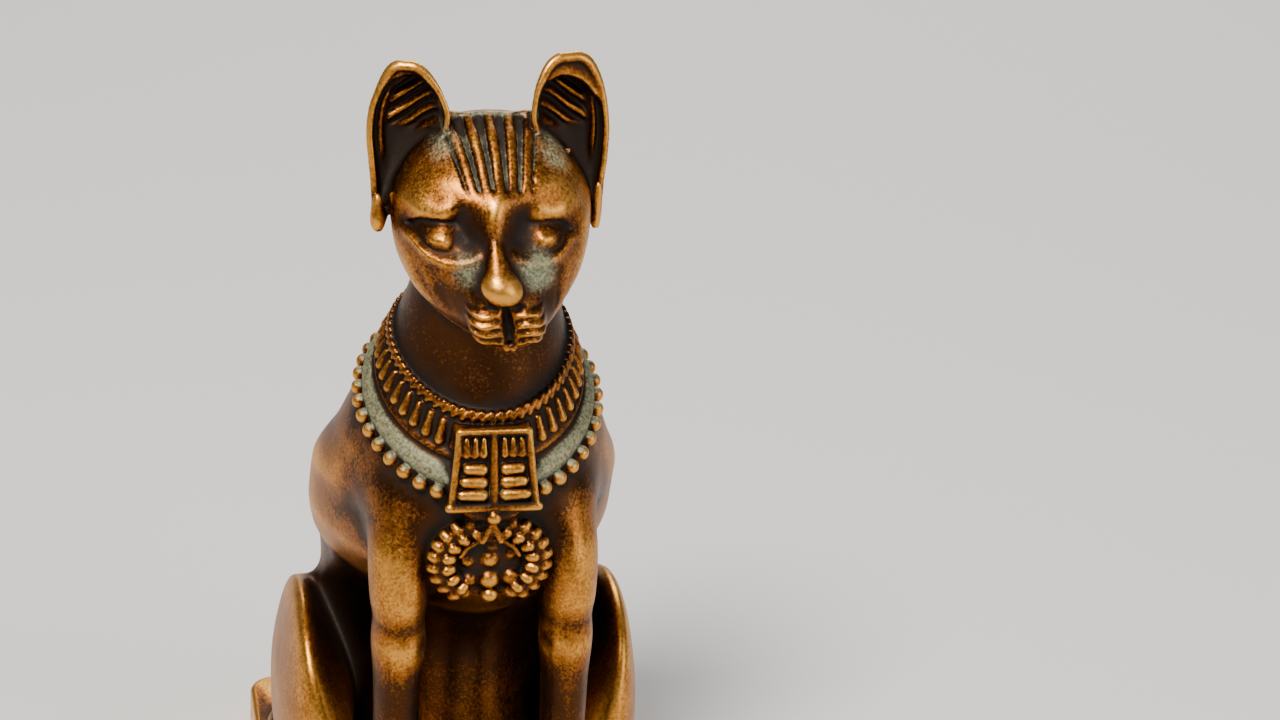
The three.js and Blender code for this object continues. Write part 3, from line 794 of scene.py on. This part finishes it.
def surface_nets(low, values):
    inside = values < 0
    nx, ny, nz = values.shape
    count = np.zeros((nx - 1, ny - 1, nz - 1), np.uint8)
    corners = [(dx, dy, dz) for dx in (0, 1) for dy in (0, 1) for dz in (0, 1)]
    for dx, dy, dz in corners:
        count += inside[dx : nx - 1 + dx, dy : ny - 1 + dy, dz : nz - 1 + dz]
    cells = np.flatnonzero((count > 0) & (count < 8))
    ci, rest = np.divmod(cells, (ny - 1) * (nz - 1))
    cj, ck = np.divmod(rest, nz - 1)
    flat = values.ravel()
    at = (ci * ny + cj) * nz + ck
    level = {c: flat[at + (c[0] * ny + c[1]) * nz + c[2]] for c in corners}
    total = np.zeros((len(cells), 3), np.float32)
    hits = np.zeros(len(cells), np.float32)
    for a in corners:
        for axis in range(3):
            if a[axis]:
                continue
            b = tuple(1 if i == axis else v for i, v in enumerate(a))
            crossed = (level[a] < 0) != (level[b] < 0)
            t = level[a] / np.where(crossed, level[a] - level[b], 1)
            point = np.tile(np.array(a, np.float32), (len(cells), 1))
            point[:, axis] = t
            total += point * crossed[:, None]
            hits += crossed
    points = low + STEP * (np.stack([ci, cj, ck], 1) + total / hits[:, None])
    quads = []
    for axis in range(3):
        others = [i for i in range(3) if i != axis]
        spans_a = [slice(1, n - 1) for n in values.shape]
        spans_b = list(spans_a)
        spans_a[axis], spans_b[axis] = slice(0, values.shape[axis] - 1), slice(1, values.shape[axis])
        first, second = inside[tuple(spans_a)], inside[tuple(spans_b)]
        hit = np.flatnonzero(first != second)
        ijk = np.stack(np.unravel_index(hit, first.shape), 1)
        ijk[:, others] += 1
        outward = first.ravel()[hit]
        ring = []
        for da, db in ((0, 0), (1, 0), (1, 1), (0, 1)):
            cell = ijk.copy()
            cell[:, others[0]] -= da
            cell[:, others[1]] -= db
            code = (cell[:, 0] * (ny - 1) + cell[:, 1]) * (nz - 1) + cell[:, 2]
            ring.append(np.searchsorted(cells, code))
        quad = np.stack(ring, 1)
        turned = outward if axis != 1 else ~outward
        quad[~turned] = quad[~turned][:, ::-1]
        quads.append(quad)
    return points, np.concatenate(quads)


def largest_piece(points, quads):
    """Leaves out closed pockets inside."""
    label = np.arange(len(points))
    a, b = quads[:, [0, 1, 2, 3]].ravel(), quads[:, [1, 2, 3, 0]].ravel()
    while True:
        least = np.minimum(label[a], label[b])
        new = label.copy()
        np.minimum.at(new, a, least)
        np.minimum.at(new, b, least)
        np.minimum.at(new, label, new)
        new = new[new]
        new = new[new]
        if (new == label).all():
            break
        label = new
    kept = label == np.bincount(label).argmax()
    number = np.cumsum(kept) - 1
    quads = quads[kept[quads[:, 0]]]
    return points[kept], number[quads]


def new_mesh(name, points, faces):
    mesh = bpy.data.meshes.new(name)
    sides = faces.shape[1]
    mesh.vertices.add(len(points))
    mesh.vertices.foreach_set("co", np.ascontiguousarray(points, np.float32).ravel())
    mesh.loops.add(faces.size)
    mesh.loops.foreach_set("vertex_index", np.ascontiguousarray(faces, np.int32).ravel())
    mesh.polygons.add(len(faces))
    mesh.polygons.foreach_set("loop_start", np.arange(0, faces.size, sides, dtype=np.int32))
    mesh.update(calc_edges=True)
    return mesh


def neighbour_mean(values, a, b, degree):
    total = np.empty_like(values)
    for i in range(values.shape[1]):
        total[:, i] = np.bincount(a, values[b, i], len(values)) + np.bincount(b, values[a, i], len(values))
    return total / degree[:, None]


low, values = sample_field()
points, quads = largest_piece(*surface_nets(low, values))
points = settle(values, low, points)

mesh = new_mesh("cat", points, quads)
cat = bpy.data.objects.new("cat", mesh)
bpy.context.scene.collection.objects.link(cat)
cut_down = cat.modifiers.new("cut_down", "DECIMATE")
cut_down.ratio = min(1.0, TRIANGLES / (2 * len(quads)))
bpy.context.view_layer.update()
reduced = cat.evaluated_get(bpy.context.evaluated_depsgraph_get()).to_mesh()
points = np.empty(len(reduced.vertices) * 3, np.float32)
reduced.vertices.foreach_get("co", points)
points = points.reshape(-1, 3).astype(float)
reduced.calc_loop_triangles()
triangles = np.empty(len(reduced.loop_triangles) * 3, np.int32)
reduced.loop_triangles.foreach_get("vertices", triangles)
triangles = triangles.reshape(-1, 3)
cat.modifiers.clear()
points = settle(values, low, points)
normals = gradient(values, low, points, STEP)
normals /= np.maximum(np.linalg.norm(normals, axis=1), 1e-9)[:, None]

# Wear and painted shade: how far each point stands above its surroundings, near and wide; high spots are rubbed
# bright, low spots get painted shade
edges = np.sort(np.concatenate([triangles[:, [0, 1]], triangles[:, [1, 2]], triangles[:, [2, 0]]]), axis=1)
edges = np.unique(edges[:, 0].astype(np.int64) * len(points) + edges[:, 1])
a, b = np.divmod(edges, len(points))
degree = np.maximum(np.bincount(a, minlength=len(points)) + np.bincount(b, minlength=len(points)), 1)
smooth, near, wide = points.copy(), None, None
for turn in range(60):
    smooth = neighbour_mean(smooth, a, b, degree)
    if turn == 9:
        near = ((points - smooth) * normals).sum(1)
wide = ((points - smooth) * normals).sum(1)


def calm(value, turns):
    value = value[:, None]
    for _ in range(turns):
        value = 0.5 * value + 0.5 * neighbour_mean(value, a, b, degree)
    return value[:, 0]


near, wide = calm(near, 2), calm(wide, 3)

# Thin green-grey patina where it is seen: beside the nose, on the temples, the crown and the collar's band
x, y, z = points.T
lift = collar_lift(y, z)
neck = (z > 79) & (z < 108) & (torso(x[None, None, :], y[None, None, :], z[None, None, :]).ravel() < 2.5)
patina = np.zeros(len(points))
for (cx, cy, cz), (rx, ry, rz), strength in (
    ((-4.6, -30.5, 121.8), (4.0, 5.0, 4.4), 0.75),
    ((5.6, -30.5, 121.4), (4.8, 5.0, 4.8), 1.0),
    ((-8.4, -18.0, 138.0), (4.2, 6.0, 4.4), 0.7),
    ((9.8, -18.0, 136.6), (5.0, 6.0, 5.4), 0.8),
    ((0.0, -13.4, 141.0), (9.0, 1.8, 1.3), 1.0),
    ((17.6, -16.6, 126.5), (1.5, 2.0, 4.5), 0.5),
):
    d = np.sqrt(((x - cx) / rx) ** 2 + ((y - cy) / ry) ** 2 + ((z - cz) / rz) ** 2)
    patina = np.maximum(patina, strength * (1 - step_up(d, 0.15, 1.3)))
band = neck * step_up(lift, 0.9, 1.5) * (1 - step_up(lift, 3.9, 4.6))
patina = np.maximum(patina, band)
_, _, ground = stripe_places(x, y, z)
floor_share = ground * (z > 129) * (near < -0.06)
patina = np.maximum(patina, 0.95 * floor_share)

mesh = new_mesh("cat", points / 1000, triangles)
cat.data = mesh
mesh.polygons.foreach_set("use_smooth", np.ones(len(triangles), bool))
mesh.normals_split_custom_set_from_vertices(normals.astype(np.float32))
for name, value in (("near", near), ("wide", wide), ("patina", patina)):
    attribute = mesh.attributes.new(name, "FLOAT", "POINT")
    attribute.data.foreach_set("value", value.astype(np.float32))

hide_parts("cat_figurine")
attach(cat, "root")


# Materials

def material(name):
    made = bpy.data.materials.new(name)
    made.use_nodes = True
    made.node_tree.nodes.clear()
    return made, made.node_tree


class Nodes:
    def __init__(self, tree):
        self.tree = tree

    def add(self, kind, **settings):
        node = self.tree.nodes.new(kind)
        for key, value in settings.items():
            if key in node.inputs:
                node.inputs[key].default_value = value
            else:
                setattr(node, key, value)
        return node

    def link(self, source, target):
        self.tree.links.new(source, target)

    def noise(self, scale, detail=3.0, rough=0.6, at=None):
        node = self.add("ShaderNodeTexNoise", Scale=scale, Detail=detail, Roughness=rough)
        self.link(at, node.inputs["Vector"])
        return node.outputs["Fac"]

    def sum(self, operation, a, b=None, clamp=False):
        node = self.add("ShaderNodeMath", operation=operation, use_clamp=clamp)
        for i, value in enumerate((a, b)):
            if value is None:
                continue
            if isinstance(value, (int, float)):
                node.inputs[i].default_value = value
            else:
                self.link(value, node.inputs[i])
        return node.outputs[0]

    def ramp(self, value, low, high, to_low=0.0, to_high=1.0):
        node = self.add("ShaderNodeMapRange", interpolation_type="SMOOTHSTEP")
        for key, number in (("From Min", low), ("From Max", high), ("To Min", to_low), ("To Max", to_high)):
            node.inputs[key].default_value = number
        self.link(value, node.inputs["Value"])
        return node.outputs["Result"]

    def mix(self, share, a, b):
        node = self.add("ShaderNodeMix", data_type="RGBA")
        if isinstance(share, (int, float)):
            node.inputs[0].default_value = share
        else:
            self.link(share, node.inputs[0])
        for i, value in ((6, a), (7, b)):
            if isinstance(value, tuple):
                node.inputs[i].default_value = (*value, 1)
            else:
                self.link(value, node.inputs[i])
        return node.outputs[2]


def bronze():
    made, tree = material("bronze_finish")
    n = Nodes(tree)
    place = n.add("ShaderNodeTexCoord").outputs["Object"]
    near_value = n.add("ShaderNodeAttribute", attribute_name="near").outputs["Fac"]
    wide_value = n.add("ShaderNodeAttribute", attribute_name="wide").outputs["Fac"]
    patina_value = n.add("ShaderNodeAttribute", attribute_name="patina").outputs["Fac"]
    grain = n.noise(1900, 3, 0.7, place)
    cloud = n.noise(190, 3, 0.6, place)
    broad = n.noise(45, 2, 0.5, place)

    # how high a spot stands, broken up by the brush
    near_high = n.sum("MULTIPLY", n.sum("SUBTRACT", near_value, 0.08), 3.0)
    wide_high = n.sum("MINIMUM", n.sum("MULTIPLY", n.sum("SUBTRACT", wide_value, 0.33), 0.6), 0.45)
    height = n.sum("ADD", near_high, wide_high)
    brush = n.sum("MULTIPLY", n.sum("SUBTRACT", grain, 0.5), 2.4)
    drift = n.sum("MULTIPLY", n.sum("SUBTRACT", cloud, 0.5), 1.5)
    worn = n.sum("ADD", n.sum("ADD", height, brush), drift)
    low_high = n.sum("ADD", near_high, n.sum("MULTIPLY", wide_high, 0.35))
    # painted shade: low spots fade to near-black, standing for the antiqued dark in the hollows and also for the
    # shade that falls in them
    hollow_dark_and_painted_shade = n.ramp(n.sum("ADD", low_high, n.sum("MULTIPLY", drift, 0.4)), -0.30, -1.0)

    deep = n.mix(n.ramp(broad, 0.35, 0.65), (0.10, 0.040, 0.016), (0.062, 0.027, 0.013))
    copper = n.mix(n.ramp(cloud, 0.35, 0.7), (0.40, 0.165, 0.045), (0.30, 0.11, 0.032))
    colour = n.mix(n.ramp(worn, -0.45, 0.45), deep, copper)
    colour = n.mix(n.ramp(worn, 0.25, 1.25), colour, (0.72, 0.37, 0.10))
    green = n.mix(n.ramp(grain, 0.3, 0.7), (0.13, 0.14, 0.085), (0.36, 0.38, 0.25))
    clouds = n.sum("MULTIPLY", n.sum("SUBTRACT", cloud, 0.5), 1.6)
    spots = n.sum("ADD", clouds, n.sum("MULTIPLY", n.sum("SUBTRACT", grain, 0.5), 0.9))
    mask = n.ramp(n.sum("ADD", patina_value, n.sum("MULTIPLY", spots, patina_value)), 0.2, 0.95, 0, 0.85)
    colour = n.mix(mask, colour, green)
    # painted shade in the hollows laid over the colour, partly the finish's own dark
    colour = n.mix(hollow_dark_and_painted_shade, colour, (0.024, 0.014, 0.009))

    shader = n.add("ShaderNodeBsdfPrincipled")
    n.link(colour, shader.inputs["Base Color"])
    # the painted-shade mask also dulls the metal and roughens it in the hollows
    dull = n.sum("ADD", n.sum("MULTIPLY", mask, 0.55), n.sum("MULTIPLY", hollow_dark_and_painted_shade, 0.5))
    metal = n.sum("SUBTRACT", 0.95, dull, True)
    n.link(metal, shader.inputs["Metallic"])
    soft = n.sum("ADD", n.sum("MULTIPLY", mask, 0.22), n.sum("MULTIPLY", hollow_dark_and_painted_shade, 0.25))
    rough = n.sum("ADD", n.ramp(grain, 0.3, 0.7, 0.32, 0.46), soft, True)
    n.link(rough, shader.inputs["Roughness"])
    bump = n.add("ShaderNodeBump", Strength=0.35, Distance=0.00025)
    relief = n.sum("ADD", n.sum("MULTIPLY", grain, 0.5), cloud)
    n.link(relief, bump.inputs["Height"])
    n.link(bump.outputs["Normal"], shader.inputs["Normal"])
    out = n.add("ShaderNodeOutputMaterial")
    n.link(shader.outputs["BSDF"], out.inputs["Surface"])
    return made


mesh.materials.append(bronze())

# Floor, light and camera

floor_mesh = bpy.data.meshes.new("floor")
floor_mesh.from_pydata([(-3, -3, 0), (3, -3, 0), (3, 3, 0), (-3, 3, 0)], [], [(0, 1, 2, 3)])
floor = bpy.data.objects.new("floor", floor_mesh)
bpy.context.scene.collection.objects.link(floor)
floor.location.z = -0.0002
pale, tree = material("floor")
n = Nodes(tree)
shader = n.add("ShaderNodeBsdfPrincipled", Roughness=0.8)
shader.inputs["Base Color"].default_value = (0.72, 0.71, 0.69, 1)
n.link(shader.outputs["BSDF"], n.add("ShaderNodeOutputMaterial").inputs["Surface"])
floor_mesh.materials.append(pale)


def area_light(name, at, aim, size, power, colour=(1, 1, 1)):
    light = bpy.data.lights.new(name, "AREA")
    light.shape = "DISK"
    light.size = size
    light.energy = power
    light.color = colour
    lamp = bpy.data.objects.new(name, light)
    lamp.location = at
    lamp.rotation_euler = (Vector(aim) - Vector(at)).to_track_quat("-Z", "Y").to_euler()
    bpy.context.scene.collection.objects.link(lamp)


area_light("key", (-0.35, -0.5, 1.0), (0, 0, 0.09), 0.35, 14, (1, 0.96, 0.9))
area_light("fill", (0.9, -0.7, 0.5), (0, 0, 0.08), 0.9, 5, (0.93, 0.96, 1))
area_light("rim", (0.3, 1.0, 0.8), (0, 0, 0.08), 0.6, 6)

world = bpy.data.worlds.new("studio")
bpy.context.scene.world = world
world.use_nodes = True
world.node_tree.nodes["Background"].inputs["Color"].default_value = (0.80, 0.82, 0.85, 1)
world.node_tree.nodes["Background"].inputs["Strength"].default_value = 0.25

# The photograph's camera: a long lens, a little to one side and from above
FOCAL, SENSOR = 100.0, 36.0
PIXELS = FOCAL / SENSOR * 1280
DISTANCE = PIXELS * 31 / 195
AIM, AIM_PIXEL = np.array([0.2, -20.0, 123.0]), (492.0, 235.0)
TURN, ELEVATION, ROLL = math.radians(-8.5), math.radians(23), math.radians(3.3)


def camera_axes(turn, elevation, roll):
    level = math.cos(elevation)
    ahead = np.array([-math.sin(turn) * level, math.cos(turn) * level, -math.sin(elevation)])
    right = np.array([math.cos(turn), math.sin(turn), 0.0])
    up = np.cross(right, ahead)
    c, s = math.cos(roll), math.sin(roll)
    return ahead, right * c + up * s, up * c - right * s


def place_camera():
    eye = AIM - camera_axes(TURN, ELEVATION, 0)[0] * DISTANCE
    turn, elevation = TURN, ELEVATION
    c, s = math.cos(ROLL), math.sin(ROLL)
    for _ in range(40):
        ahead, right, up = camera_axes(turn, elevation, ROLL)
        v = AIM - eye
        miss_x = 640 + PIXELS * (v @ right) / (v @ ahead) - AIM_PIXEL[0]
        miss_y = AIM_PIXEL[1] - (360 - PIXELS * (v @ up) / (v @ ahead))
        turn -= (miss_x * c - miss_y * s) / PIXELS
        elevation -= (miss_x * s + miss_y * c) / PIXELS
    camera = bpy.data.cameras.new("camera")
    camera.lens, camera.sensor_width = FOCAL, SENSOR
    camera.clip_start, camera.clip_end = 0.01, 20
    seen = bpy.data.objects.new("camera", camera)
    rows = np.column_stack([right, up, -ahead])
    seen.matrix_world = Matrix([[*rows[i], eye[i] / 1000] for i in range(3)] + [[0, 0, 0, 1]])
    bpy.context.scene.collection.objects.link(seen)
    bpy.context.scene.camera = seen


place_camera()
bpy.context.scene.view_settings.view_transform = "AgX"
bpy.context.scene.view_settings.look = "AgX - Medium High Contrast"
